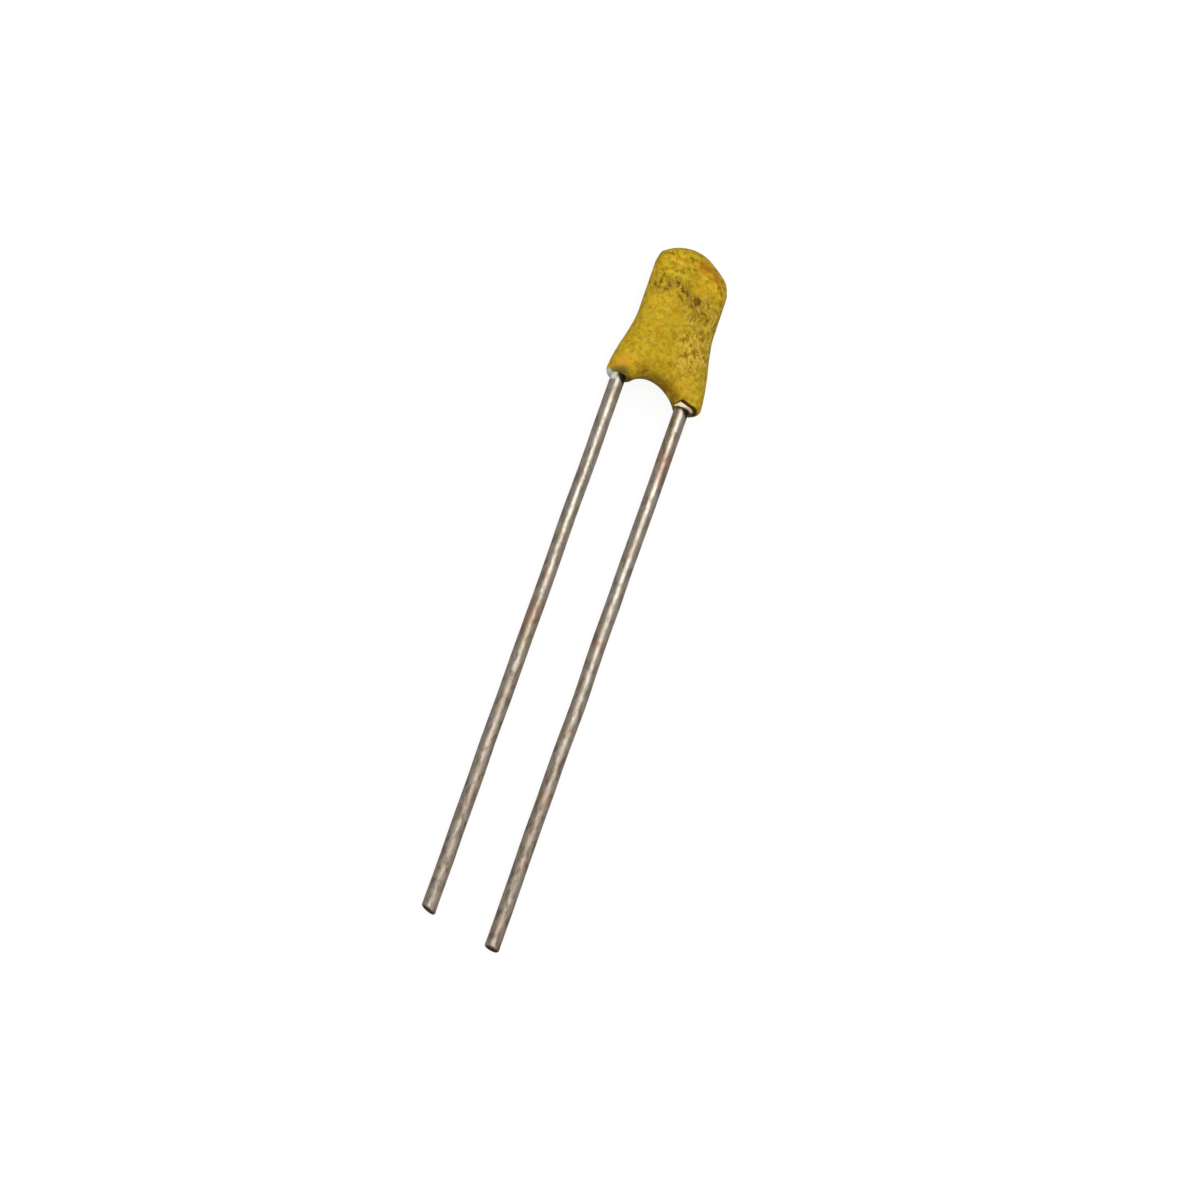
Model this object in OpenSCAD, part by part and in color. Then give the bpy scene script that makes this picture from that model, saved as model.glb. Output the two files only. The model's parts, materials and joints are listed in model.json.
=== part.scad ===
// Resin-dipped ceramic plate capacitor with two radial wire leads.
// It lies on its rear face: X runs across the leads, Y from the lead tips to the domed top, Z up.
// The origin is on the surface it lies on, midway between the leads and halfway along the part.

/* [Leads] */
// Diameter of the tinned wire
lead_d = 0.5; // [0.4:0.01:0.7]
// Spacing of the two leads outside the body
lead_pitch = 2.54; // [2:0.01:4]
// Straight wire from the bend inside each foot to the cut tip
lead_len = 19.85; // [8:0.05:30]
// How far inside each foot the straight wire starts
lead_cover = 0.08; // [0.05:0.01:0.3]
// Length of the S-bend between foot and plate, along the body
lead_swing = 1.55; // [1.3:0.05:2.5]
// Radius of the two bends of the S-bend
lead_bend_r = 0.5; // [0.4:0.05:0.55]
// How much thinner the wire is drawn at its bends
lead_bend_thin = 0.01; // [0.005:0.001:0.02]
// Distance of each lead's lap from the side of the plate
lead_inset = 0.5; // [0.4:0.01:0.8]
// Distance of each lead's inner end from the top of the plate
lead_stop = 0.95; // [0.5:0.05:1.4]

/* [Ceramic plate] */
// Width of the plate
plate_w = 2; // [1.4:0.05:4]
// Height of the plate
plate_h = 2.9; // [2.4:0.05:5]
// Thickness of the plate
plate_t = 0.25; // [0.15:0.01:0.6]

/* [Electrodes and solder] */
// Thickness of each fired silver layer
electrode_t = 0.03; // [0.02:0.005:0.06]
// Bare ceramic border around each silver layer
electrode_margin = 0.12; // [0.05:0.01:0.25]
// Solder left between silver and wire
solder_film = 0.03; // [0.02:0.005:0.06]
// Width of the solder fillet at its middle
solder_w = 0.66; // [0.56:0.01:0.8]
// Width of the solder fillet at its two ends
solder_end_w = 0.3; // [0.2:0.01:0.4]
// Bare wire at each end of the solder fillet
solder_gap = 0.08; // [0.04:0.01:0.2]

/* [Coating] */
// Thickness of the resin over the wire on the two broad faces
coat_face = 0.165; // [0.1:0.005:0.4]
// Thickness of the resin beside the plate, on its thinner side
coat_side = 0.29; // [0.25:0.01:0.6]
// Thickness of the resin over the top edge of the plate, at the crown of the dome
coat_top = 0.78; // [0.65:0.01:1.2]
// How far the dipped body sits to the right of the middle of the leads
body_shift = 0.08; // [0:0.01:0.15]
// Rise of the domed top over the shoulders
dome_rise = 0.7; // [0.3:0.05:0.9]
// How far the crown of the dome sits to the left of the middle of the body
dome_shift = 0.12; // [0:0.01:0.2]
// Radius of the two shoulders
shoulder_r = 0.5; // [0.2:0.01:0.6]
// Depth of the rounding all around the two broad faces
rim_r = 0.8; // [0.4:0.02:0.9]
// Height of the narrow land left at the middle of the rounded rim
rim_land = 0.08; // [0.04:0.01:0.15]
// Height over which the left flank flares out to its foot
left_flare_h = 2.7; // [1:0.1:3.5]
// Height over which the right flank flares out to its foot
right_flare_h = 2.8; // [1:0.1:3.5]
// Thickness of the resin outside the wire at each foot, on its thinner side
foot_wall = 0.22; // [0.2:0.01:0.6]
// Thickness of the resin on the inner side of the wire at each foot, on its thinner side
foot_inner_wall = 0.03; // [0.02:0.01:0.2]
// Rounding of the outer corner of each foot
foot_round = 0.22; // [0.08:0.01:0.25]
// Drop from each broad face down to the foot ends
foot_drop = 0.16; // [0.05:0.01:0.2]
// Height over which the broad faces drop to the feet
foot_drop_h = 1.4; // [0.8:0.1:2.4]
// Rise of the arch between the feet
arch_rise = 0.43; // [0.25:0.01:0.6]

/* [Hidden] */
$fn = 64;
// How finely the dipped skin is drawn: rings inwards, and steps along each stretch of the outline
skin_rings = 12;
flank_steps = 18;
shoulder_steps = 5;
dome_steps = 14;
foot_steps = 8;
arch_steps = 14;
// How much the steps up a flank crowd towards the foot, 1 for even steps
flank_crowding = 1.5;
// How tightly the rim turns where two edges of the plan meet: deep in the body, and at the outline
rim_blend = 3.5;
outline_blend = 12;
// How late the first gives way to the second towards the outline, 1 for an even change
blend_delay = 4;

// Leads: the lap on the plate, and the S-bend of two equal arcs and a slant that leads to it
lap_x = plate_w / 2 - lead_inset;
silver_z = plate_t / 2 + electrode_t;
lap_z = silver_z + solder_film + lead_d / 2;
plate_y = lead_cover + lead_swing;
lap_end_y = plate_y + plate_h - lead_stop;
swing_across = norm([lap_x - lead_pitch / 2, lap_z]);
swing_roll = atan2(-lap_z, lap_x - lead_pitch / 2);
swing_span = norm([swing_across / 2 - lead_bend_r, lead_swing / 2]);
swing_slant = sqrt(pow(swing_span, 2) - pow(lead_bend_r, 2));
swing_turn = 180 - atan2(lead_swing / 2, swing_across / 2 - lead_bend_r) - acos(lead_bend_r / swing_span);
// Angle by which a bend runs on inside the straight wire at each of its ends
bend_plug = 3;

// Body: every outer size follows from what it covers, on the side where the shifted body is thinner
body_t = 2 * (lap_z + lead_d / 2 + coat_face);
body_w = plate_w + 2 * (coat_side + body_shift);
body_h = plate_y + plate_h + coat_top;
foot_half = lead_pitch / 2 + lead_d / 2 + foot_wall + body_shift;
arch_half = lead_pitch / 2 - lead_d / 2 - foot_inner_wall - body_shift;
foot_corner = min(foot_round, foot_wall);

// Top outline: dome arc between two shoulder arcs that are tangent to it and to the flanks
dome_r = (pow(body_w / 2, 2) + pow(dome_rise, 2)) / (2 * dome_rise);
dome = [-dome_shift, body_h - dome_r];
right_shoulder = shoulder(1);
left_shoulder = shoulder(-1);

// Bottom outline: arch between the feet
arch_r = (pow(arch_half, 2) + pow(arch_rise, 2)) / (2 * arch_rise);
arch = [0, arch_rise - arch_r];
arch_start = atan2(-arch.y, arch_half);

// Fall of the leads: the angle at which both tips touch the surface the part lies on
fall = asin(body_t / 2 / norm([lead_len, lead_d / 2])) - atan2(lead_d / 2, lead_len);
lead_reach = lead_len * cos(fall) + lead_d / 2 * sin(fall) - lead_cover;

// Smooth step from 0 to 1
function ease(t) = let (u = min(max(t, 0), 1)) u * u * (3 - 2 * u);

// Centre of the right shoulder (side 1) or of the left one (side -1)
function shoulder(side) =
    let (x = side * (body_w / 2 - shoulder_r))
    [x, dome.y + sqrt(pow(dome_r - shoulder_r, 2) - pow(x - dome.x, 2))];

// Direction in which a shoulder meets the dome
function shoulder_turn(centre) = atan2(centre.y - dome.y, centre.x - dome.x);

// How far the rounded outer corner of a foot pulls the flank in at height y
function corner_in(y) =
    let (u = max(1 - max(y, 0) / foot_corner, 0))
    foot_corner * (1 - sqrt(1 - u * u));

// Half-width of the outline at height y, for a flank that flares out over flare_h
function flank(y, flare_h) =
    body_w / 2 + (foot_half - body_w / 2) * (1 - ease(y / flare_h)) - corner_in(y);

// Distance of a point of the plan below the dome, about square to it
function dome_gap(p) =
    let (drop = sqrt(pow(dome_r, 2) - pow(min(abs(p.x - dome.x), body_w / 2), 2)))
    (dome.y + drop - p.y) * drop / dome_r;

// How near a point is to an edge: 1 at the edge, 0 from rim_r inwards
function nearness(gap) = 1 - min(max(gap, 0) / rim_r, 1);

// How near a point of the plan is to all edges together
function edge_nearness(p) =
    let (
        near = [
            nearness(flank(p.y, right_flare_h) - p.x),
            nearness(flank(p.y, left_flare_h) + p.x),
            nearness(dome_gap(p)),
            nearness(norm(p - arch) - arch_r)
        ],
        blend = rim_blend + (outline_blend - rim_blend) * pow(max(near), blend_delay)
    )
    pow([for (n = near) pow(n, blend)] * [1, 1, 1, 1], 1 / blend);

// Half-thickness of the dipped skin over a point of the plan, rounded like a quarter circle to its edges
function skin_half(p) =
    let (u = min(edge_nearness(p), 1), crown = body_t / 2 - foot_drop * (1 - ease(p.y / foot_drop_h)))
    max(rim_land / 2, crown * sqrt(1 - u * u));

// Points on an arc of the plan, without its last point
function arc(centre, r, from, to, steps) =
    [for (i = [0:steps - 1]) let (a = from + (to - from) * i / steps) centre + r * [cos(a), sin(a)]];

// Points on a straight foot end, without its last point
function foot_end(from, to) =
    [for (i = [0:foot_steps - 1]) [from + (to - from) * i / foot_steps, 0]];

// Points along a flank between two of its steps, which crowd towards the rounded corner of the foot
function flank_line(side, top, flare_h, first, last) =
    [for (i = [first:sign(last - first):last])
        let (y = top * pow(i / flank_steps, flank_crowding)) [side * flank(y, flare_h), y]];

// Plan of the body at mid-thickness, anticlockwise from the right foot
outline = concat(
    flank_line(1, right_shoulder.y, right_flare_h, 0, flank_steps - 1),
    arc(right_shoulder, shoulder_r, 0, shoulder_turn(right_shoulder), shoulder_steps),
    arc(dome, dome_r, shoulder_turn(right_shoulder), shoulder_turn(left_shoulder), dome_steps),
    arc(left_shoulder, shoulder_r, shoulder_turn(left_shoulder), 180, shoulder_steps),
    flank_line(-1, left_shoulder.y, left_flare_h, flank_steps, 1),
    foot_end(-flank(0, left_flare_h), -arch_half),
    arc(arch, arch_r, 180 - arch_start, arch_start, arch_steps),
    foot_end(arch_half, flank(0, right_flare_h))
);

// Puts what is drawn between the foot ends, at mid-thickness, where the part lies
module in_place() {
    translate([0, (lead_reach - body_h) / 2, body_t / 2]) children();
}

// Straight wire along Y
module wire(from, to) {
    translate([0, to, 0]) rotate([90, 0, 0]) cylinder(h = to - from, d = lead_d);
}

// Wire bent to an arc about the Z axis, from angle a over the given turn, and on into the straight wire
module bent_wire(a, turn) {
    rotate([0, 0, a - bend_plug]) rotate_extrude(angle = turn + 2 * bend_plug)
        translate([lead_bend_r, 0]) circle(d = lead_d - lead_bend_thin);
}

// S-bend from the foot to the front of the plate, and the lap along it
module inner_run() {
    translate([lead_pitch / 2, lead_cover, 0]) rotate([0, swing_roll, 0]) {
        translate([lead_bend_r, 0, 0]) bent_wire(180 - swing_turn, swing_turn);
        translate([swing_across / 2, lead_swing / 2, 0]) rotate([0, 0, -swing_turn])
            wire(-swing_slant, swing_slant);
        translate([swing_across - lead_bend_r, lead_swing, 0]) bent_wire(-swing_turn, swing_turn);
    }
    translate([lap_x, 0, lap_z]) wire(plate_y, lap_end_y);
}

// Straight wire that leans down from the foot until its tip touches the surface
module outer_run() {
    translate([0, lead_cover, 0]) rotate([90 + fall, 0, 0]) cylinder(h = lead_len, d = lead_d);
}

// Right lead laps the front of the plate, left lead the rear
module right_wire() {
    inner_run();
    translate([lead_pitch / 2, 0, 0]) outer_run();
}

module left_wire() {
    rotate([0, 180, 0]) inner_run();
    translate([-lead_pitch / 2, 0, 0]) outer_run();
}

module plate_solid() {
    translate([-plate_w / 2, plate_y, -plate_t / 2]) cube([plate_w, plate_h, plate_t]);
}

// Block on the silver's outline, between two heights
module silver_block(from, to) {
    translate([electrode_margin - plate_w / 2, plate_y + electrode_margin, from])
        cube([plate_w - 2 * electrode_margin, plate_h - 2 * electrode_margin, to - from]);
}

// Silver layer on the front of the plate
module electrode_solid() {
    silver_block(plate_t / 2, silver_z);
}

// Mound along the lap: half of a slender barrel, cut off at the given height
module solder_mound(base) {
    from = plate_y + electrode_margin + solder_gap;
    length = lap_end_y - solder_gap - from;
    bulge = (solder_w - solder_end_w) / 2;
    barrel_r = (pow(length / 2, 2) + pow(bulge, 2)) / (2 * bulge);
    difference() {
        translate([lap_x, from + length / 2, silver_z]) rotate([90, 0, 0])
            rotate_extrude() intersection() {
                translate([solder_w / 2 - barrel_r, 0]) circle(r = barrel_r);
                translate([0, -length / 2]) square([solder_w, length]);
            }
        translate([lap_x - solder_w, from - solder_gap, base - solder_w])
            cube([2 * solder_w, length + 2 * solder_gap, solder_w]);
    }
}

// Fillet along the lap: the mound on the silver, hollowed by the wire
module solder_solid() {
    difference() {
        solder_mound(silver_z);
        translate([lap_x, 0, lap_z]) wire(plate_y, lap_end_y);
    }
}

// Closed skin of the dipped body: rings that close in on the middle, above and below mid-thickness
module dipped_skin() {
    middle = [0, body_h / 2];
    count = len(outline);
    last = skin_rings - 1;
    plan = [for (k = [1:skin_rings], p = outline) middle + sin(90 * k / skin_rings) * (p - middle)];
    size = len(plan);
    points = concat(
        [for (p = plan) [p.x, p.y, skin_half(p)]],
        [for (p = plan) [p.x, p.y, -skin_half(p)]],
        [[middle.x, middle.y, body_t / 2], [middle.x, middle.y, -body_t / 2]]
    );
    faces = concat(
        [for (i = [0:count - 1]) let (j = (i + 1) % count) [2 * size, j, i]],
        [for (i = [0:count - 1]) let (j = (i + 1) % count) [2 * size + 1, size + i, size + j]],
        [for (k = [0:last - 1], i = [0:count - 1], half = [0, 1])
            let (j = (i + 1) % count, a = k * count, b = a + count)
            half == 0 ? [a + i, a + j, b + j] : [a + i, b + j, b + i]],
        [for (k = [0:last - 1], i = [0:count - 1], half = [0, 1])
            let (j = (i + 1) % count, a = size + k * count, b = a + count)
            half == 0 ? [a + j, a + i, b + j] : [a + i, b + i, b + j]],
        [for (i = [0:count - 1])
            let (j = (i + 1) % count, a = last * count, b = size + a)
            [a + i, a + j, b + j, b + i]]
    );
    polyhedron(points, faces);
}

module coating() {
    color([0.72, 0.58, 0.18]) in_place() difference() {
        translate([body_shift, 0, 0]) dipped_skin();
        plate_solid();
        silver_block(-silver_z, silver_z);
        solder_mound(plate_t / 2);
        rotate([0, 180, 0]) solder_mound(plate_t / 2);
        right_wire();
        left_wire();
    }
}

module ceramic_plate() {
    color([0.78, 0.72, 0.6]) in_place() plate_solid();
}

module front_electrode() {
    color([0.85, 0.85, 0.83]) in_place() electrode_solid();
}

module rear_electrode() {
    color([0.85, 0.85, 0.83]) in_place() rotate([0, 180, 0]) electrode_solid();
}

module front_solder_joint() {
    color([0.68, 0.69, 0.7]) in_place() solder_solid();
}

module rear_solder_joint() {
    color([0.68, 0.69, 0.7]) in_place() rotate([0, 180, 0]) solder_solid();
}

module left_lead() {
    color([0.62, 0.57, 0.49]) in_place() left_wire();
}

module right_lead() {
    color([0.62, 0.57, 0.49]) in_place() right_wire();
}

coating();
ceramic_plate();
front_electrode();
rear_electrode();
front_solder_joint();
rear_solder_joint();
left_lead();
right_lead();
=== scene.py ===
"""Looks of a resin-dipped ceramic plate capacitor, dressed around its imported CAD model.

Lengths are in millimetres in the part's own frame, and become metres where a mesh, light or camera is made.
"""
import json
import math

import bpy
import numpy as np
from mathutils import Matrix, Vector, noise


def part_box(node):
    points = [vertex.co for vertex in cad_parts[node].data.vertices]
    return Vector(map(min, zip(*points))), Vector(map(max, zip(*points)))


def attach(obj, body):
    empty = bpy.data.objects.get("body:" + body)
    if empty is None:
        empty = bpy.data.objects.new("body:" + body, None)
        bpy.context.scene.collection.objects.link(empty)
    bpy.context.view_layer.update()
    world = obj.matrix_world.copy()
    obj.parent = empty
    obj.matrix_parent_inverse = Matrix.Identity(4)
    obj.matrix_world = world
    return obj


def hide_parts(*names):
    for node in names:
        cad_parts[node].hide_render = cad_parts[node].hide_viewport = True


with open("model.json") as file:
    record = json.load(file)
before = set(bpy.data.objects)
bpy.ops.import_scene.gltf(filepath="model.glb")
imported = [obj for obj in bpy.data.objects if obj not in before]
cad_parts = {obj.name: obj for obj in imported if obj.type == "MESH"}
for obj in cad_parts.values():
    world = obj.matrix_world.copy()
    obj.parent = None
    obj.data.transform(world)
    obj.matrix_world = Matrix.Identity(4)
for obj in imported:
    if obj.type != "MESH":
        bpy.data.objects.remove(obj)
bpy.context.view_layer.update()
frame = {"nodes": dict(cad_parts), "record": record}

MM = 0.001

# Camera: its turns in degrees, the point it looks at, its distance from there, and the picture's width
CAMERA_AZIMUTH = -43.7
CAMERA_ELEVATION = 57.5
CAMERA_ROLL = 67.3
CAMERA_AIM = (0.653, -0.259, 0.913)
CAMERA_DISTANCE = 294.7
PICTURE_WIDTH = 39.1
SENSOR_WIDTH = 36.0
NEAR_CLIP, FAR_CLIP = 10.0, 10000.0

# Light: a long soft box along the leads, a second one in its place for shine alone, fills without shine,
# and a dim surround
KEY_DIRECTION = (-0.3, 0.14, 0.93)
KEY_WIDTH, KEY_LENGTH = 460.0, 1100.0
KEY_RADIANCE = 1.45
SHINE_RADIANCE = 0.7
FILL_WIDTH = 800.0
FILLS = (
    ("foot_fill", (-0.5, -0.75, 0.6), 0.85),
    ("left_fill", (-1.0, 0.1, 0.4), 0.8),
    ("right_fill", (1.0, 0.1, 0.45), 0.72),
)
LIGHT_DISTANCE = 600.0
SURROUND = (0.252, 0.242, 0.228)

# White sweep: a round floor that bends up into a wall
SWEEP_MIDDLE_R = 60.0
SWEEP_FLOOR_R = 700.0
SWEEP_BEND_R = 300.0
SWEEP_WALL_H = 1200.0
SWEEP_SIDES = 96
SWEEP_BEND_STEPS = 10

# Dipped body, in a plan whose x is 0 at the middle of the body and whose y is 0 at the foot ends
BODY_SHIFT = 0.08
BODY_W = 2.74
FOOT_HALF = 1.82
FOOT_ROUND = 0.22
FOOT_DROP = 0.16
FOOT_DROP_H = 1.4
LEFT_FLARE_H = 2.7
RIGHT_FLARE_H = 2.8
ARCH_HALF = 0.91
ARCH_RISE = 0.43
DOME_RISE = 0.7
DOME_SHIFT = 0.12
SHOULDER_R = 0.5
RIM_R = 0.8
RIM_LAND = 0.08
RIM_BLEND = 3.5
OUTLINE_BLEND = 12.0
BLEND_DELAY = 4.0

# How finely the skin is drawn
FLANK_STEPS = 110
FLANK_CROWDING = 1.5
SHOULDER_STEPS = 24
DOME_STEPS = 90
FOOT_STEPS = 46
ARCH_STEPS = 80
SKIN_RINGS = 66
WALL_ROWS = 30
EDGE_RINGS = 2

# Where a form or mark shows is given by pairs and fours of values. It is absent up to a pair's first value,
# and full from its second on. At four values it starts, is full, begins to fade, and is gone.

# Unevenness of the dipped skin, above its flat foot ends: broad waves, and the cured resin's finer peel
UNEVEN_Y = (0.02, 0.25)
WAVE_DEPTH, WAVE_SIZE = 0.02, 1.1
PEEL_DEPTH, PEEL_SIZE = 0.007, 0.24

# Flatter stretch on the right side of the dome: depth, centre in the plan, and half-widths
DOME_FLAT_DEPTH = 0.065
DOME_FLAT = (0.55, 4.95)
DOME_FLAT_HALF = (0.5, 0.4)

# Broken right foot: corners of the crack's line in the plan, and the stretch of foot that it crosses
CRACK_X = (0.85, 0.94, 1.21, 1.6)
CRACK_Y = (0.06, 0.175, 0.06, 0.01)
BREAK_X = (0.82, 0.88, 1.62, 1.75)

# The chip below the crack: a step, then a slope, down to a share of the skin's height there
CHIP_BELOW = (-0.004, 0.012)
CHIP_LOWEST_Z = 0.1
CHIP_STEP = 0.035
CHIP_SLOPE = 0.75
CHIP_LIMIT = 0.5

# Distances down from the crack's line. The foot's end plane counts in part, so that it follows the front.
END_PLANE_SHARE = 0.5
CRACK_MIDDLE, CRACK_HALF = 0.012, (0.045, 0.02)
CRACK_DEPTH = 0.04
LIP_DOWN = (0.03, 0.045, 0.13, 0.16)
LIP_X = (1.55, 1.4)
# Painted shade in a band below the pale lip
UNDERCUT_SHADE_DOWN = (0.13, 0.16, 0.2, 0.26)
UNDERCUT_SHADE_SHARE = 0.7

# Marks on the resin, most of them on its front. A spot has a centre in the plan and half-widths.
# A drift makes the edges of some marks uneven.
FRONT_Z = (0.0, 0.35)
DRIFT, DRIFT_SIZE = 0.3, 0.5

# Stain and scorched spots of the dome
STAIN_Z = (-0.5, 0.1)
STAIN_DOME_GAP = (1.4, 0.9)
SCORCHES = (((0.05, 4.6), (0.32, 0.19)), ((0.5, 4.42), (0.22, 0.14)))

# Rubbed print: a sloping band, and a spot beside it
PRINT_X, PRINT_LENGTH = -0.35, (1.2, 0.9)
PRINT_Y, PRINT_HEIGHT = 3.27, (0.5, 0.2)
PRINT_SLOPE = 0.25
PRINT_DRIFT_SHARE = 0.4
PRINT_SPOT = ((0.5, 2.85), (0.28, 0.4))

# Grainy right side
GRAIN_X = (-0.5, 0.3)
GRAIN_Y = (0.3, 1.6, 3.2, 3.9)

# Painted shade along the arch and on the left foot beside it, painted shade on the foot ends and in the
# left foot's outer corner, and the left foot's pale and warm spots
ARCH_SHADE_GAP = (0.2, 0.02)
FOOT_SHADE_SPOT = ((-0.72, 0.36), (0.28, 0.16))
END_SHADE_Y, END_SHADE_Z = (0.02, 0.0), (0.36, 0.22)
CORNER_SHADE_SPOT = ((-1.52, 0.04), (0.3, 0.12))
CORNER_SHADE_Z = (-0.1, 0.1)
PALE_X, PALE_Y, PALE_Z = (-1.38, -1.5), (0.12, 0.04), (0.12, -0.02)
WARM_SPOT = ((-1.62, 0.3), (0.22, 0.24))

# Wires: name, node, side, how strongly the cut slants, and how far the tip reaches past the solid's
WIRES = (
    ("left_wire", "left_lead", -1, 0.35, 0.03),
    ("right_wire", "right_lead", 1, 0.12, 0.16),
)
BEND_R = 0.5
S_BEND_RISE = 1.55

# Waver of a wire's free run, across and up
WAVER = 0.035
WAVER_FROM_FOOT = (0.6, 5.0)
WAVER_SIZE, WAVER_UP_SIZE = 2.6, 3.1
WAVER_UP_SHARE = 0.4

# Ends of a wire: the rounding of tip and lap, and the tip's pinch and slanted cut
TIP_ROUND, TIP_INSET = 0.1, 0.09
LAP_ROUND = 0.06
PINCH, PINCH_LEN = 0.1, 0.22
CUT_LEN = 0.4
CUT_ACROSS, CUT_UP = 0.85, 0.5

# Long dents and small pits in a wire's skin, away from its ends
DENT_DEPTH, DENT_SIZE, DENT_STRETCH = 0.004, 0.22, (1, 0.3, 1)
PIT_DEPTH, PIT_SIZE = 0.002, 0.12
DENT_END_GAP = (0.0, 0.1)

# Marks on a wire, by distance from its foot, which is counted aslant for the painted shade at its root, and
# the painted shade of its cut tip by distance from the tip. A side is -1 at the wire's left and 1 at its
# right.
AGE_FROM_FOOT = (5.0, 17.0)
ROOT_SLANT = 0.16
LEFT_SHADE, LEFT_SHADE_SIDE = (0.2, 0.1), (-0.75, -0.4)
RIGHT_SHADE = (0.14, 0.06)
PALE_ROOT, PALE_ROOT_SIDE = (0.38, 0.26), (-0.5, -0.7)
TIP_SHADE, TIP_SHADE_SHARE = (0.05, 0.0), 0.85

# How finely a wire is drawn
WIRE_SIDES = 48
TIP_RINGS = 24
RUN_RINGS = 320
BEND_RINGS = 12
LAP_RINGS = 24

# Colours of the resin
MUSTARD = (0.45, 0.33, 0.010)
OCHRE = (0.54, 0.335, 0.010)
YELLOW = (0.62, 0.43, 0.018)
TAN = (0.52, 0.31, 0.05)
BROWN = (0.32, 0.19, 0.004)
ORANGE = (0.52, 0.25, 0.004)
LIGHT_FLECK = (0.74, 0.53, 0.03)
DARK_FLECK = (0.23, 0.12, 0.002)
SCORCHED = (0.38, 0.13, 0.008)
LIGHT_GRAIN = (0.68, 0.49, 0.09)
DARK_GRAIN = (0.22, 0.12, 0.004)
RUBBED_INK = (0.31, 0.185, 0.012)
INK = (0.12, 0.062, 0.003)
WARM = (0.62, 0.31, 0.02)
# Painted shade along the arch and on the left foot beside it
ARCH_SHADE = (0.22, 0.11, 0.006)
# Painted shade on the foot ends and in the left foot's outer corner
FOOT_END_SHADE = (0.13, 0.09, 0.02)
PALE_RESIN = (0.62, 0.66, 0.58)
BROKEN_LIP = (0.95, 0.80, 0.52)
# Painted shade in the crack and below the lip
CRACK_SHADE = (0.05, 0.028, 0.005)

# Colours of the wires
BRIGHT_TIN = (0.88, 0.80, 0.70)
DULL_TIN = (0.72, 0.64, 0.54)
BROWN_TIN = (0.58, 0.485, 0.385)
COPPER = (0.72, 0.46, 0.33)
GREENISH_TIN = (0.62, 0.58, 0.38)
AGED_TIN = (0.64, 0.55, 0.45)
DARK_TIN = (0.31, 0.245, 0.18)
PALE_TIN = (0.60, 0.64, 0.57)
# Painted shade at the wire's root and on its cut tip
WIRE_SHADE = (0.05, 0.04, 0.028)

coat_low, coat_high = (np.array(corner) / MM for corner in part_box("coating"))
FOOT_Y = coat_low[1]
BODY_H = coat_high[1] - coat_low[1]
BODY_T = coat_high[2] - coat_low[2]
MID_Z = (coat_low[2] + coat_high[2]) / 2

DOME_R = ((BODY_W / 2) ** 2 + DOME_RISE**2) / (2 * DOME_RISE)
DOME = np.array([-DOME_SHIFT, BODY_H - DOME_R])
ARCH_R = (ARCH_HALF**2 + ARCH_RISE**2) / (2 * ARCH_RISE)
ARCH = np.array([0, ARCH_RISE - ARCH_R])


# Plan of the body

def ease(t):
    """Smooth step from 0 to 1."""
    u = np.clip(t, 0, 1)
    return u * u * (3 - 2 * u)


def between(value, low, high):
    """0 below low, 1 above high, and a smooth step between them. It falls where high is under low."""
    return ease((value - low) / (high - low))


def band(value, start, full, fade, end):
    """1 from full to fade, 0 before start and after end, and a smooth step on either side."""
    return between(value, start, full) * between(value, end, fade)


def blob(x, y, centre, half):
    """A soft spot of the plan: 1 at its centre, and nearly 0 from two half-widths out."""
    return np.exp(-(((x - centre[0]) / half[0]) ** 2) - ((y - centre[1]) / half[1]) ** 2)


def flank(y, flare_h):
    """Half-width of the plan at height y, for a flank that flares out over flare_h."""
    u = np.maximum(1 - np.maximum(y, 0) / FOOT_ROUND, 0)
    corner_in = FOOT_ROUND * (1 - np.sqrt(1 - u * u))
    return BODY_W / 2 + (FOOT_HALF - BODY_W / 2) * (1 - ease(y / flare_h)) - corner_in


def dome_gap(x, y):
    """Distance of a point of the plan below the dome."""
    drop = np.sqrt(DOME_R**2 - np.minimum(abs(x - DOME[0]), BODY_W / 2) ** 2)
    return (DOME[1] + drop - y) * drop / DOME_R


def arch_gap(x, y):
    """Distance of a point of the plan above the arch between the feet."""
    return np.hypot(x - ARCH[0], y - ARCH[1]) - ARCH_R


def edge_nearness(x, y):
    """How near a point of the plan is to its edges: 1 at an edge, 0 from the rim's depth inwards."""
    gaps = [flank(y, RIGHT_FLARE_H) - x, flank(y, LEFT_FLARE_H) + x, dome_gap(x, y), arch_gap(x, y)]
    near = np.array([1 - np.clip(gap / RIM_R, 0, 1) for gap in gaps])
    blend = RIM_BLEND + (OUTLINE_BLEND - RIM_BLEND) * near.max(0) ** BLEND_DELAY
    return np.minimum((near**blend).sum(0) ** (1 / blend), 1)


def skin_half(x, y):
    """Half-thickness of the dipped skin over a point of the plan."""
    crown = BODY_T / 2 - FOOT_DROP * (1 - ease(y / FOOT_DROP_H))
    near = edge_nearness(x, y)
    return np.hypot(crown * np.sqrt(1 - near**2), RIM_LAND / 2 * near)


def shoulder(side):
    """Centre of a shoulder arc, and the direction in which it meets the dome."""
    x = side * (BODY_W / 2 - SHOULDER_R)
    centre = np.array([x, DOME[1] + math.sqrt((DOME_R - SHOULDER_R) ** 2 - (x - DOME[0]) ** 2)])
    return centre, math.atan2(centre[1] - DOME[1], centre[0] - DOME[0])


def arc(centre, r, start, end, steps):
    """Points on an arc of the plan, without its last point."""
    a = np.linspace(start, end, steps, endpoint=False)
    return np.stack([centre[0] + r * np.cos(a), centre[1] + r * np.sin(a)], 1)


def foot_line(start, end):
    """Points on a straight foot end, without its last point."""
    x = np.linspace(start, end, FOOT_STEPS, endpoint=False)
    return np.stack([x, 0 * x], 1)


def flank_line(side, top, flare_h):
    """Points up a flank from the foot to its top, closer together at the foot."""
    y = top * np.linspace(0, 1, FLANK_STEPS + 1) ** FLANK_CROWDING
    return np.stack([side * flank(y, flare_h), y], 1)


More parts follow.
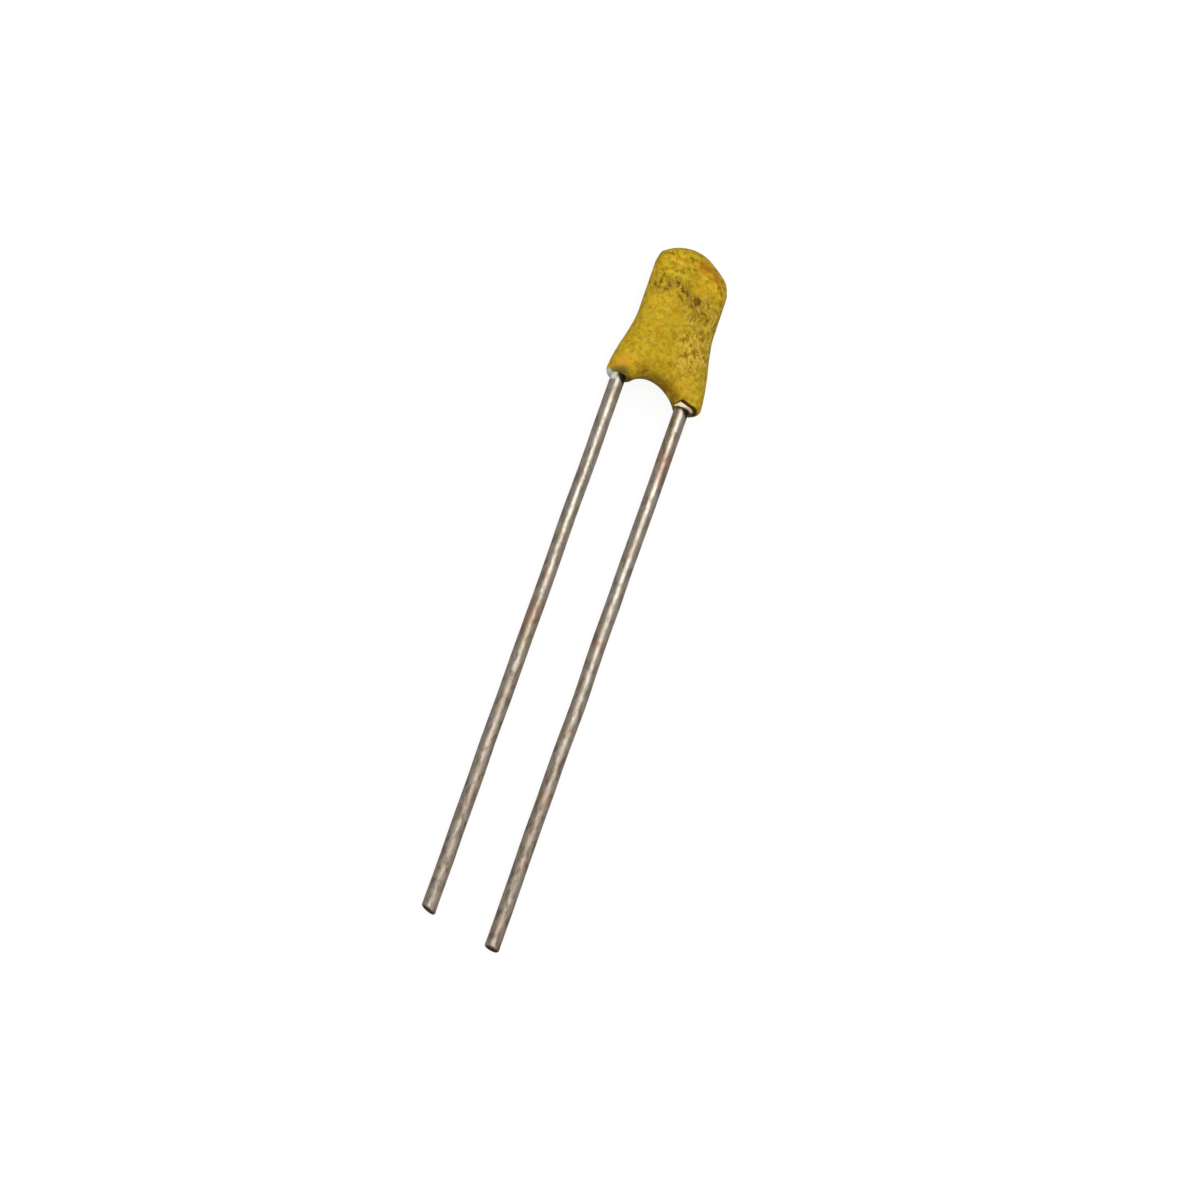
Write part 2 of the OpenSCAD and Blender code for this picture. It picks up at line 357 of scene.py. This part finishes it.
def outline():
    """Plan of the body at mid-thickness, anticlockwise from the right foot."""
    right, right_turn = shoulder(1)
    left, left_turn = shoulder(-1)
    arch_start = math.atan2(-ARCH[1], ARCH_HALF)
    return np.concatenate([
        flank_line(1, right[1], RIGHT_FLARE_H)[:-1],
        arc(right, SHOULDER_R, 0, right_turn, SHOULDER_STEPS),
        arc(DOME, DOME_R, right_turn, left_turn, DOME_STEPS),
        arc(left, SHOULDER_R, left_turn, math.pi, SHOULDER_STEPS),
        flank_line(-1, left[1], LEFT_FLARE_H)[:0:-1],
        foot_line(-flank(0, LEFT_FLARE_H), -ARCH_HALF),
        arc(ARCH, ARCH_R, math.pi - arch_start, arch_start, ARCH_STEPS),
        foot_line(ARCH_HALF, flank(0, RIGHT_FLARE_H)),
    ])


# Meshes

def add_mesh(name, points, faces, values=None):
    """A smooth mesh object from points in millimetres, with named values on its points."""
    mesh = bpy.data.meshes.new(name)
    mesh.from_pydata((points * MM).tolist(), [], faces)
    mesh.polygons.foreach_set("use_smooth", np.ones(len(mesh.polygons), bool))
    for key, value in (values or {}).items():
        layer = mesh.attributes.new(key, "FLOAT", "POINT")
        layer.data.foreach_set("value", np.asarray(value, np.float32))
    mesh.validate()
    piece = bpy.data.objects.new(name, mesh)
    bpy.context.scene.collection.objects.link(piece)
    return piece


def loop_faces(loops, count):
    """Faces of a closed skin of stacked loops, with a point before the first loop and one after the last.

    The loops' points come first in the mesh, then the point before them, then the point after them.
    """
    here = np.arange(count)
    following = (here + 1) % count
    start = np.arange(loops - 1)[:, None] * count
    corners = [start + here, start + count + here, start + count + following, start + following]
    quads = np.stack(corners, -1).reshape(-1, 4).tolist()
    before, after, last = loops * count, loops * count + 1, (loops - 1) * count
    pairs = list(zip(here.tolist(), following.tolist()))
    first_cap = [[before, a, b] for a, b in pairs]
    last_cap = [[after, last + b, last + a] for a, b in pairs]
    return quads + first_cap + last_cap


def loop_normals(loops):
    """Outward normals at the points of stacked closed loops."""
    along = np.gradient(loops, axis=0)
    around = np.roll(loops, -1, axis=1) - np.roll(loops, 1, axis=1)
    normal = np.cross(along, around)
    return normal / np.maximum(np.linalg.norm(normal, axis=2, keepdims=True), 1e-9)


def field(points, size, seed):
    """Smooth noise from -1 to 1 at points in millimetres, with features of the given size."""
    shift = Vector((seed, -seed, 2 * seed))
    values = [noise.noise(Vector(p) / size + shift) for p in points.reshape(-1, 3)]
    return np.array(values).reshape(points.shape[:-1])


# Dipped body

def skin_loops():
    """Stacked loops of the plain skin, from the middle of its front over the edge to the back's middle.

    The front's height at each of their points in the plan comes with them.
    """
    edge = outline()
    middle = np.array([0, BODY_H / 2])
    rings = np.sin(np.linspace(0, math.pi / 2, SKIN_RINGS + 1)[1:])
    plan = middle + rings[:, None, None] * (edge - middle)
    half = skin_half(plan[..., 0], plan[..., 1])
    front = np.concatenate([plan, half[..., None]], 2)
    wall_z = np.cos(np.linspace(0, math.pi, WALL_ROWS + 2)[1:-1])[:, None] * half[-1]
    wall = np.concatenate([np.repeat(edge[None], WALL_ROWS, 0), wall_z[..., None]], 2)
    back = (front * [1, 1, -1])[::-1]
    top = np.concatenate([half, np.repeat(half[-1:], WALL_ROWS, 0), half[::-1]])
    return np.concatenate([front, wall, back]), top


def break_right_foot(x, y, z, top):
    """Heights of the skin with a broken right foot, and shares of its pale lip and of painted shade in and
    below its crack.
    """
    below = np.interp(x, CRACK_X, CRACK_Y) - y
    down = below + END_PLANE_SHARE * (top - z)
    broken = band(x, *BREAK_X)
    chipped = broken * between(below, *CHIP_BELOW) * (z > CHIP_LOWEST_Z)
    depth = CHIP_STEP + CHIP_SLOPE * np.maximum(below, 0)
    z = z - chipped * np.minimum(depth, CHIP_LIMIT * np.maximum(z, 0))
    # the crack's groove, which is also painted with shade
    crack = broken * between(abs(down - CRACK_MIDDLE), *CRACK_HALF) * (z > 0)
    z = z - CRACK_DEPTH * crack
    front = broken * (z > 0)
    lip = front * band(down, *LIP_DOWN) * between(x, *LIP_X)
    # painted shade below the pale lip
    undercut_shade = UNDERCUT_SHADE_SHARE * front * band(down, *UNDERCUT_SHADE_DOWN)
    return z, lip, np.maximum(crack, undercut_shade)


def roughen(loops):
    """Sinks waves, peel and the dome's flatter stretch into the skin, and leaves the foot ends flat."""
    x, y = loops[..., 0], loops[..., 1]
    normals = loop_normals(loops)
    edge = slice(SKIN_RINGS - EDGE_RINGS, SKIN_RINGS + WALL_ROWS + EDGE_RINGS)
    normals[edge] = normals[SKIN_RINGS + WALL_ROWS // 2]
    waves = WAVE_DEPTH * (0.5 + 0.5 * field(loops, WAVE_SIZE, seed=3.7))
    peel = PEEL_DEPTH * (0.5 + 0.5 * field(loops, PEEL_SIZE, seed=9.1))
    sunk = (waves + peel) * between(y, *UNEVEN_Y)
    outward = DOME_FLAT - DOME
    inward = np.append(-outward / np.linalg.norm(outward), 0)
    flat = DOME_FLAT_DEPTH * blob(x, y, DOME_FLAT, DOME_FLAT_HALF)
    return loops - normals * sunk[..., None] + inward * flat[..., None]


def resin_marks(x, y, z, drift):
    """Share of each stain, mark and painted shade at points of the skin. The drift makes the edges of some
    uneven.
    """
    front = between(z, *FRONT_Z)
    from_print_line = abs(y - PRINT_Y + PRINT_SLOPE * x) + PRINT_DRIFT_SHARE * drift
    printed = between(from_print_line, *PRINT_HEIGHT) * between(abs(x - PRINT_X), *PRINT_LENGTH)
    # painted shade on the foot ends and in the left foot's outer corner
    foot_end_shade = between(y, *END_SHADE_Y) * between(z, *END_SHADE_Z)
    corner = between(z, *CORNER_SHADE_Z) * blob(x, y, *CORNER_SHADE_SPOT)
    scorches = [blob(x, y, *spot) for spot in SCORCHES]
    return {
        "stain": between(z, *STAIN_Z) * between(dome_gap(x, y) + drift, *STAIN_DOME_GAP),
        "ink": front * np.maximum(printed, blob(x, y, *PRINT_SPOT)),
        "grain": front * between(x + drift, *GRAIN_X) * band(y + drift, *GRAIN_Y),
        # painted shade along the arch and on the left foot beside it
        "arch_shade": np.maximum(between(arch_gap(x, y), *ARCH_SHADE_GAP), front * blob(x, y, *FOOT_SHADE_SPOT)),
        "end": np.maximum(foot_end_shade, corner),
        "pale": between(x, *PALE_X) * between(y, *PALE_Y) * between(z, *PALE_Z),
        "warm": front * blob(x, y, *WARM_SPOT),
        "scorch": front * np.maximum(*scorches),
    }


def build_coating():
    """The dipped body as one closed skin with a broken right foot. Its points carry its marks as values."""
    loops, top = skin_loops()
    x, y, z = np.moveaxis(loops, 2, 0)
    z, lip, crack = break_right_foot(x, y, z, top)
    loops = roughen(np.stack([x, y, z], 2))
    marks = resin_marks(x, y, z, DRIFT * field(loops, DRIFT_SIZE, seed=6.3))
    marks.update(chip=lip, crack=crack)
    pole_z = BODY_T / 2 - 0.5 * (WAVE_DEPTH + PEEL_DEPTH)
    poles = [[0, BODY_H / 2, pole_z], [0, BODY_H / 2, -pole_z]]
    points = np.concatenate([loops.reshape(-1, 3), poles]) + [BODY_SHIFT, FOOT_Y, MID_Z]
    values = {key: np.append(value, [0, 0]) for key, value in marks.items()}
    return add_mesh("dipped_coating", points, loop_faces(*x.shape), values)


# Wires

def lead_ends(side, reach):
    """Tip, foot and lap end of a lead's middle line, and the wire's radius."""
    mounts = {mount["name"]: mount for mount in frame["record"]["mounts"]}
    pin = mounts["left_lead_pin" if side < 0 else "right_lead_pin"]
    middle = np.array(pin["pos_m"]) / MM
    axis = np.array(pin["axis"])
    axis = axis / np.linalg.norm(axis)
    r = pin["dims"]["r_mm"]
    low, high = (np.array(corner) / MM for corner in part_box("right_lead"))
    half = (middle[1] - low[1] - r * abs(axis[2])) / abs(axis[1])
    lap = np.array([low[0] + r, high[1], high[2] - r])
    if side < 0:
        lap = np.array([-lap[0], lap[1], 2 * MID_Z - lap[2]])
    return middle + axis * (half + reach), middle - axis * half, lap, r


def s_bend(foot, lap):
    """Points of the bend inside the body, from the foot up and across to the line of the lap."""
    across = np.array([lap[0] - foot[0], 0, lap[2] - foot[2]])
    width = np.linalg.norm(across)
    span = math.hypot(width / 2 - BEND_R, S_BEND_RISE / 2)
    turn = math.pi - math.atan2(S_BEND_RISE / 2, width / 2 - BEND_R) - math.acos(BEND_R / span)
    a = np.linspace(0, turn, BEND_RINGS)
    first = np.stack([BEND_R * (1 - np.cos(a)), BEND_R * np.sin(a)], 1)
    bend = np.concatenate([first, ([width, S_BEND_RISE] - first)[::-1]])
    return foot + bend[:, :1] * across / width + bend[:, 1:] * np.array([0, 1.0, 0])


def lead_path(tip, foot, lap):
    """Middle line of a lead from its tip to its lap end, and the distance of each point from the tip."""
    run = tip + (foot - tip) * np.linspace(0, 1, RUN_RINGS)[:, None]
    bend = s_bend(foot, lap)
    lap_y = np.linspace(bend[-1][1], lap[1], LAP_RINGS + 1)[1:]
    laps = np.stack([0 * lap_y + lap[0], lap_y, 0 * lap_y + lap[2]], 1)
    path = np.concatenate([run, bend[1:], laps])
    along = np.append(0, np.cumsum(np.linalg.norm(np.diff(path, axis=0), axis=1)))
    finer = np.append(np.linspace(0, CUT_LEN, TIP_RINGS), along[along > CUT_LEN])
    return np.stack([np.interp(finer, along, path[:, k]) for k in range(3)], 1), finer


def path_axes(path):
    """Directions along a path, and two across it that turn no more than the path does."""
    tangent = np.gradient(path, axis=0)
    tangent = tangent / np.linalg.norm(tangent, axis=1, keepdims=True)
    first = np.empty_like(path)
    direction = np.array([1.0, 0, 0])
    for k, t in enumerate(tangent):
        direction = direction - t * (direction @ t)
        direction = direction / np.linalg.norm(direction)
        first[k] = direction
    return tangent, first, np.cross(tangent, first)


def wander(along, size, seed):
    """A slow drift from side to side along a wire, as a column."""
    return np.array([[noise.noise((a / size, seed, -seed))] for a in along])


def end_width(gap, length):
    """Share of its full width that a round end has at a gap from it: 0 at the end, 1 from length on."""
    u = 1 - np.clip(gap / length, 0, 1)
    return np.sqrt(np.clip(1 - u**2, 0, 1))


def wire_skin(path, along, axes, angle, r, slant):
    """Loops of points around a wire's path, rounded at both ends, and pinched and cut aslant at the tip."""
    tangent, first, second = (axis[:, None] for axis in axes)
    tip_loss = TIP_INSET * (1 - end_width(along, TIP_ROUND))
    lap_loss = LAP_ROUND * (1 - end_width(along[-1] - along, LAP_ROUND))
    radius = r - tip_loss - lap_loss
    pinch = PINCH * np.exp(-((along / PINCH_LEN) ** 2))
    wide = (radius * (1 + 0.5 * pinch))[:, None] * np.cos(angle)
    tall = (radius * (1 - pinch))[:, None] * np.sin(angle)
    near_tip = np.clip(1 - along / CUT_LEN, 0, 1)[:, None]
    shorter = slant * near_tip * (r - CUT_ACROSS * wide + CUT_UP * tall)
    return path[:, None] + wide[..., None] * first + tall[..., None] * second + shorter[..., None] * tangent


def dent_wire(points, path, along, r, side):
    """The loops of a wire with dents and pits, which its ends have none of."""
    dents = DENT_DEPTH * field(points * DENT_STRETCH, DENT_SIZE, seed=5.0 + side)
    pits = PIT_DEPTH * field(points, PIT_SIZE, seed=1.0 + side)
    inner = between(along, *DENT_END_GAP) * between(along[-1] - along, *DENT_END_GAP)
    out = (points - path[:, None]) / r
    return points + out * ((dents + pits) * inner[:, None])[..., None]


def wire_marks(along, from_foot, across, side):
    """Share of each mark and painted shade on a wire's loops, where across is -1 at a loop's left and 1 at
    its right.
    """
    root = from_foot[:, None] - ROOT_SLANT * (across + 1)
    shade = between(root, *RIGHT_SHADE)
    pale = 0 * root
    if side < 0:
        shade = between(root, *LEFT_SHADE) * between(across, *LEFT_SHADE_SIDE)
        pale = between(from_foot, *PALE_ROOT)[:, None] * between(across, *PALE_ROOT_SIDE)
    return {
        "age": between(from_foot, *AGE_FROM_FOOT)[:, None] + 0 * across,
        "pale": pale,
        # painted shade on the cut tip and at the root
        "dark": np.maximum(TIP_SHADE_SHARE * between(along, *TIP_SHADE)[:, None], shade),
    }


def build_lead(name, side, slant, reach):
    """One tinned wire, swept along its path from its cut tip to the end of its lap."""
    tip, foot, lap, r = lead_ends(side, reach)
    path, along = lead_path(tip, foot, lap)
    from_foot = np.linalg.norm(foot - tip) - along
    axes = path_axes(path)
    sideways = axes[1] * wander(along, WAVER_SIZE, seed=3.0 + side)
    upwards = axes[2] * wander(along, WAVER_UP_SIZE, seed=8.0 + side)
    free = between(from_foot, *WAVER_FROM_FOOT)[:, None]
    path = path + WAVER * free * (sideways + WAVER_UP_SHARE * upwards)
    angle = np.linspace(0, 2 * math.pi, WIRE_SIDES, endpoint=False)
    loops = wire_skin(path, along, axes, angle, r, slant)
    loops = dent_wire(loops, path, along, r, side)
    marks = wire_marks(along, from_foot, np.cos(angle), side)
    points = np.concatenate([loops.reshape(-1, 3), [loops[0].mean(0), loops[-1].mean(0)]])
    values = {key: np.append(value, [value[0, 0], value[-1, -1]]) for key, value in marks.items()}
    faces = [face[::-1] for face in loop_faces(*loops.shape[:2])]
    return add_mesh(name, points, faces, values)


# Materials

class Graph:
    """A node material with a few short ways to add nodes."""

    def __init__(self, name):
        self.material = bpy.data.materials.new(name)
        self.material.use_nodes = True
        self.tree = self.material.node_tree
        self.shader = self.tree.nodes["Principled BSDF"]
        self.place = self.mapped(self.add("ShaderNodeTexCoord").outputs["Object"], "Scale", (1 / MM,) * 3)

    def add(self, kind, inputs=None, **settings):
        """A node of a kind, with its inputs and settings."""
        node = self.tree.nodes.new(kind)
        for key, value in settings.items():
            setattr(node, key, value)
        for key, value in (inputs or {}).items():
            self.set(node.inputs[key], value)
        return node

    def set(self, socket, value):
        """Links a socket to another one, or sets it to a constant."""
        if isinstance(value, bpy.types.NodeSocket):
            self.tree.links.new(value, socket)
        else:
            socket.default_value = value

    def finish(self, **inputs):
        """The material, with inputs of its shader set, whose names have _ for a space here."""
        for key, value in inputs.items():
            self.set(self.shader.inputs[key.replace("_", " ")], value)
        return self.material

    def value(self, name):
        """A value that the mesh carries on its points."""
        return self.add("ShaderNodeAttribute", attribute_name=name).outputs["Fac"]

    def mapped(self, place, change, amount):
        """A place in space, scaled or rotated."""
        return self.add("ShaderNodeMapping", {"Vector": place, change: amount}).outputs["Vector"]

    def noise(self, size, detail=3.0, stretch=None, turn=0.0, roughness=0.55, distortion=0.0):
        """Noise from 0 to 1 with features of a size in millimetres, turned about Z and then stretched."""
        place = self.place
        if turn:
            place = self.mapped(place, "Rotation", (0, 0, turn))
        if stretch:
            place = self.mapped(place, "Scale", stretch)
        inputs = {"Vector": place, "Scale": 1 / size, "Detail": detail, "Roughness": roughness}
        inputs["Distortion"] = distortion
        return self.add("ShaderNodeTexNoise", inputs).outputs["Fac"]

    def steps(self, value, low, high, to_low=0.0, to_high=1.0):
        """Maps low and high to the two given numbers, with a smooth step between them."""
        inputs = {"Value": value, "From Min": low, "From Max": high, "To Min": to_low, "To Max": to_high}
        return self.add("ShaderNodeMapRange", inputs, interpolation_type="SMOOTHSTEP").outputs["Result"]

    def math(self, operation, a, b):
        """The result of an operation on two numbers or sockets."""
        node = self.add("ShaderNodeMath", operation=operation)
        self.set(node.inputs[0], a)
        self.set(node.inputs[1], b)
        return node.outputs[0]

    def times(self, a, b):
        """The product of two numbers or sockets."""
        return self.math("MULTIPLY", a, b)

    def mix(self, share, a, b):
        """Colour a, with colour b laid over it by share."""
        node = self.add("ShaderNodeMix", data_type="RGBA")
        for index, value in ((0, share), (6, a), (7, b)):
            self.set(node.inputs[index], (*value, 1.0) if isinstance(value, tuple) else value)
        return node.outputs[2]

    def lay(self, under, over, spots, start, full, least=0.0, most=1.0, within=None):
        """A colour with spots of another over it, by a share that goes from least at start to most at full.

        Where a value is given, the share is multiplied by it.
        """
        share = self.steps(spots, start, full, least, most)
        if within is not None:
            share = self.times(within, share)
        return self.mix(share, under, over)

    def bump(self, height, depth, strength=1.0, under=None):
        """A bump of the given depth in millimetres, over another bump if one is given."""
        inputs = {"Height": height, "Distance": depth * MM, "Strength": strength}
        if under is not None:
            inputs["Normal"] = under
        return self.add("ShaderNodeBump", inputs).outputs["Normal"]


def resin_noises(g):
    """The noises that the resin's colours and bumps follow. Strokes and nicks are turned two ways each."""
    stroke = {"size": 0.11, "detail": 1.0, "stretch": (1.0, 0.3, 1.0)}
    nick = {"size": 0.13, "detail": 1.5, "stretch": (1.0, 0.45, 1.0), "distortion": 0.9}
    return {
        "broad": g.noise(0.9),
        "mid": g.noise(0.3, detail=4.0),
        "patch": g.noise(0.2, distortion=0.4),
        "fine": g.noise(0.085, roughness=0.65),
        "fleck": g.noise(0.16, roughness=0.6, distortion=0.4),
        "strokes": [g.noise(turn=turn, **stroke) for turn in (-0.6, 0.75)],
        "nicks": [g.noise(turn=turn, **nick) for turn in (-0.7, 0.4)],
    }


def resin_ground(g, noises):
    """Mottled mustard, with an orange stain, flecks that thicken towards the dome, and scorched spots."""
    stain = g.value("stain")
    flecked = g.steps(stain, 0.0, 1.0, 0.55, 1.0)
    colour = g.lay(MUSTARD, OCHRE, noises["broad"], 0.35, 0.65)
    colour = g.lay(colour, YELLOW, noises["mid"], 0.5, 0.7, most=0.7)
    colour = g.lay(colour, TAN, noises["patch"], 0.55, 0.7, most=0.5)
    colour = g.lay(colour, BROWN, noises["fine"], 0.5, 0.68, most=0.5)
    colour = g.lay(colour, ORANGE, noises["patch"], 0.5, 0.62, most=0.6, within=stain)
    colour = g.lay(colour, LIGHT_FLECK, noises["fleck"], 0.5, 0.37, most=0.6, within=flecked)
    colour = g.lay(colour, DARK_FLECK, noises["fleck"], 0.51, 0.65, most=0.8, within=flecked)
    return g.lay(colour, SCORCHED, noises["fine"], 0.3, 0.55, least=0.5, within=g.value("scorch"))


def resin_front(g, noises, colour):
    """The grainy right side, and what is left of the rubbed print."""
    grain = g.value("grain")
    for nick in noises["nicks"]:
        colour = g.lay(colour, LIGHT_GRAIN, nick, 0.47, 0.37, most=0.55, within=grain)
        colour = g.lay(colour, DARK_GRAIN, nick, 0.53, 0.63, most=0.7, within=grain)
    ink = g.value("ink")
    colour = g.lay(colour, RUBBED_INK, noises["fleck"], 0.4, 0.6, least=0.2, most=0.7, within=ink)
    left_over = g.times(ink, g.steps(noises["patch"], 0.42, 0.56))
    for stroke in noises["strokes"]:
        colour = g.lay(colour, INK, stroke, 0.5, 0.64, most=0.8, within=left_over)
    return colour


def resin_feet(g, noises, colour):
    """Spots of the feet, the broken foot's pale lip, and painted shade at the arch, foot ends, crack and
    undercut.
    """
    colour = g.mix(g.times(g.value("warm"), 0.8), colour, WARM)
    # painted shade along the arch and on the left foot beside it, patchy
    colour = g.lay(colour, ARCH_SHADE, noises["patch"], 0.3, 0.6, least=0.25, most=0.9, within=g.value("arch_shade"))
    # painted shade on the foot ends and in the left foot's outer corner
    colour = g.mix(g.times(g.value("end"), 0.85), colour, FOOT_END_SHADE)
    colour = g.mix(g.value("pale"), colour, PALE_RESIN)
    colour = g.mix(g.value("chip"), colour, BROKEN_LIP)
    # painted shade in the crack and below the lip
    return g.mix(g.value("crack"), colour, CRACK_SHADE)


def resin_material():
    """Dipped resin: satin, mottled, stained, worn, and rougher in its grainy part."""
    g = Graph("resin")
    noises = resin_noises(g)
    colour = resin_ground(g, noises)
    colour = resin_front(g, noises, colour)
    colour = resin_feet(g, noises, colour)
    grain = g.times(g.value("grain"), noises["nicks"][0])
    normal = g.bump(noises["mid"], depth=0.014, strength=0.7)
    normal = g.bump(noises["fine"], depth=0.008, strength=0.8, under=normal)
    normal = g.bump(grain, depth=0.02, strength=0.8, under=normal)
    return g.finish(
        Base_Color=colour,
        Roughness=g.steps(noises["fine"], 0.3, 0.7, 0.40, 0.58),
        Specular_IOR_Level=0.1,
        Normal=normal,
    )


def wire_material():
    """Tinned wire, drawn along its length, with brown, coppery and greenish tarnish, duller at its tip."""
    g = Graph("tinned_wire")
    streak = g.noise(0.08, stretch=(1.0, 0.2, 1.0))
    patch = g.noise(0.6, detail=4.0, stretch=(1.0, 0.7, 1.0))
    copper = g.noise(0.9, stretch=(1.0, 0.7, 1.0), distortion=0.5)
    green = g.noise(0.8, stretch=(1.0, 0.5, 1.0), distortion=0.5)
    mottle = g.noise(0.15, stretch=(1.0, 0.35, 1.0), roughness=0.65)
    age = g.value("age")
    pale = g.value("pale")

    colour = g.lay(BRIGHT_TIN, DULL_TIN, streak, 0.35, 0.7)
    colour = g.lay(colour, BROWN_TIN, patch, 0.45, 0.6, most=0.7)
    colour = g.lay(colour, COPPER, copper, 0.54, 0.66, most=0.75)
    colour = g.lay(colour, GREENISH_TIN, green, 0.58, 0.68, most=0.6)
    colour = g.mix(g.times(age, 0.6), colour, AGED_TIN)
    spots = g.steps(mottle, 0.47, 0.64, 0, 0.58)
    aged_spots = g.times(age, g.steps(mottle, 0.4, 0.6, 0, 0.25))
    colour = g.mix(g.math("ADD", spots, aged_spots), colour, DARK_TIN)
    colour = g.mix(pale, colour, PALE_TIN)
    # painted shade at the wire's root and on its cut tip
    colour = g.mix(g.value("dark"), colour, WIRE_SHADE)
    roughness = g.math("ADD", g.steps(patch, 0.3, 0.7, 0.33, 0.43), g.times(age, 0.2))
    normal = g.bump(streak, depth=0.006, strength=0.7)
    normal = g.bump(mottle, depth=0.008, strength=0.7, under=normal)
    return g.finish(
        Base_Color=colour,
        Metallic=g.math("SUBTRACT", 1.0, pale),
        Roughness=roughness,
        Normal=normal,
    )


def layer_material(name, light, dark, size, metallic, rough):
    """A fired or melted layer inside the body, mottled between two colours."""
    g = Graph(name)
    mottle = g.noise(size, detail=4.0)
    return g.finish(
        Base_Color=g.mix(mottle, light, dark),
        Metallic=metallic,
        Roughness=g.steps(mottle, 0.3, 0.7, rough - 0.08, rough + 0.08),
        Normal=g.bump(g.noise(size / 3), depth=0.004, strength=0.6),
    )


def paper_material():
    """White paper that gives its own even light."""
    g = Graph("studio_paper")
    tone = g.noise(40.0, detail=2.0)
    return g.finish(
        Base_Color=g.mix(tone, (0.10, 0.10, 0.10), (0.11, 0.11, 0.11)),
        Roughness=0.9,
        Emission_Color=(1.0, 1.0, 1.0, 1.0),
        Emission_Strength=0.9,
    )


# Studio

def build_sweep():
    """The white sweep, which neither lights the part nor shows in it."""
    a = np.linspace(0, math.pi / 2, SWEEP_BEND_STEPS)
    bend = np.stack([SWEEP_FLOOR_R + SWEEP_BEND_R * np.sin(a), SWEEP_BEND_R * (1 - np.cos(a))], 1)
    wall_top = [SWEEP_FLOOR_R + SWEEP_BEND_R, SWEEP_WALL_H]
    profile = np.concatenate([[[SWEEP_MIDDLE_R, 0.0]], bend, [wall_top]])
    turn = np.linspace(0, 2 * math.pi, SWEEP_SIDES, endpoint=False)
    ring = np.stack([np.cos(turn), np.sin(turn)], 1)
    heights = np.repeat(profile[:, None, 1:], SWEEP_SIDES, 1)
    loops = np.concatenate([profile[:, None, :1] * ring, heights], 2)
    points = np.concatenate([loops.reshape(-1, 3), [[0.0, 0.0, 0.0]]])
    faces = [[len(points) - 1, i, (i + 1) % SWEEP_SIDES] for i in range(SWEEP_SIDES)]
    for start in range(0, len(points) - 1 - SWEEP_SIDES, SWEEP_SIDES):
        above = start + SWEEP_SIDES
        for i in range(SWEEP_SIDES):
            j = (i + 1) % SWEEP_SIDES
            faces.append([start + i, above + i, above + j, start + j])
    sweep = add_mesh("studio_sweep", points, faces)
    sweep.data.materials.append(paper_material())
    sweep.visible_diffuse = False
    sweep.visible_glossy = False
    sweep.visible_shadow = False


def add_softbox(name, direction, width, length, radiance):
    """A rectangular soft box that faces the part, with its length along the leads."""
    away = Vector(direction).normalized()
    along = Vector((0, 1, 0)) - away * away.y
    along.normalize()
    light = bpy.data.lights.new(name, "AREA")
    light.shape = "RECTANGLE"
    light.size = width * MM
    light.size_y = length * MM
    light.energy = radiance * math.pi * light.size * light.size_y
    box = bpy.data.objects.new(name, light)
    turn = Matrix((along.cross(away), along, away)).transposed()
    box.matrix_world = Matrix.Translation(away * LIGHT_DISTANCE * MM) @ turn.to_4x4()
    box.visible_camera = False
    bpy.context.scene.collection.objects.link(box)
    return box


def build_light():
    """The soft boxes and the dim surround."""
    add_softbox("key", KEY_DIRECTION, KEY_WIDTH, KEY_LENGTH, KEY_RADIANCE)
    shine = add_softbox("shine", KEY_DIRECTION, KEY_WIDTH, KEY_LENGTH, SHINE_RADIANCE)
    shine.visible_diffuse = False
    for name, direction, radiance in FILLS:
        fill = add_softbox(name, direction, FILL_WIDTH, FILL_WIDTH, radiance)
        fill.visible_glossy = False
    world = bpy.data.worlds.new("surround")
    world.use_nodes = True
    world.node_tree.nodes["Background"].inputs["Color"].default_value = (*SURROUND, 1.0)
    bpy.context.scene.world = world


def build_camera():
    """The photograph's view, from the side of the lead tips and well above."""
    azimuth, elevation, roll = (math.radians(a) for a in (CAMERA_AZIMUTH, CAMERA_ELEVATION, CAMERA_ROLL))
    flat = math.cos(elevation)
    back = Vector((math.sin(azimuth) * flat, -math.cos(azimuth) * flat, math.sin(elevation)))
    level = Vector((math.cos(azimuth), math.sin(azimuth), 0))
    right = math.cos(roll) * level + math.sin(roll) * back.cross(level)
    camera = bpy.data.cameras.new("camera")
    camera.sensor_width = SENSOR_WIDTH
    camera.lens = SENSOR_WIDTH * CAMERA_DISTANCE / PICTURE_WIDTH
    camera.clip_start = NEAR_CLIP * MM
    camera.clip_end = FAR_CLIP * MM
    eye = bpy.data.objects.new("camera", camera)
    turn = Matrix((right, back.cross(right), back)).transposed()
    place = (Vector(CAMERA_AIM) + CAMERA_DISTANCE * back) * MM
    eye.matrix_world = Matrix.Translation(place) @ turn.to_4x4()
    bpy.context.scene.collection.objects.link(eye)
    bpy.context.scene.camera = eye
    bpy.context.scene.view_settings.view_transform = "Standard"


def dress(piece, material, node=None):
    """Gives a piece its material, in place of any that it had. With a node named, the piece rides on the
    part in its place.
    """
    piece.data.materials.clear()
    piece.data.materials.append(material)
    if node:
        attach(piece, "root")
        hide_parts(node)


build_camera()
build_light()
build_sweep()

wire = wire_material()
solder = layer_material(
    "solder", (0.66, 0.67, 0.68), (0.52, 0.53, 0.55), size=0.2, metallic=1.0, rough=0.35
)
silver = layer_material(
    "fired_silver", (0.86, 0.85, 0.82), (0.74, 0.72, 0.68), size=0.15, metallic=1.0, rough=0.5
)
ceramic = layer_material(
    "fired_ceramic", (0.62, 0.52, 0.36), (0.52, 0.42, 0.28), size=0.3, metallic=0.0, rough=0.6
)

dress(build_coating(), resin_material(), "coating")
for name, node, side, slant, reach in WIRES:
    dress(build_lead(name, side, slant, reach), wire, node)
for node, material, slot in (
    ("ceramic_plate", ceramic, "ceramic"),
    ("front_electrode", silver, "silver"),
    ("rear_electrode", silver, "silver"),
    ("front_solder_joint", solder, "solder"),
    ("rear_solder_joint", solder, "solder"),
):
    dress(frame["nodes"][node], material)
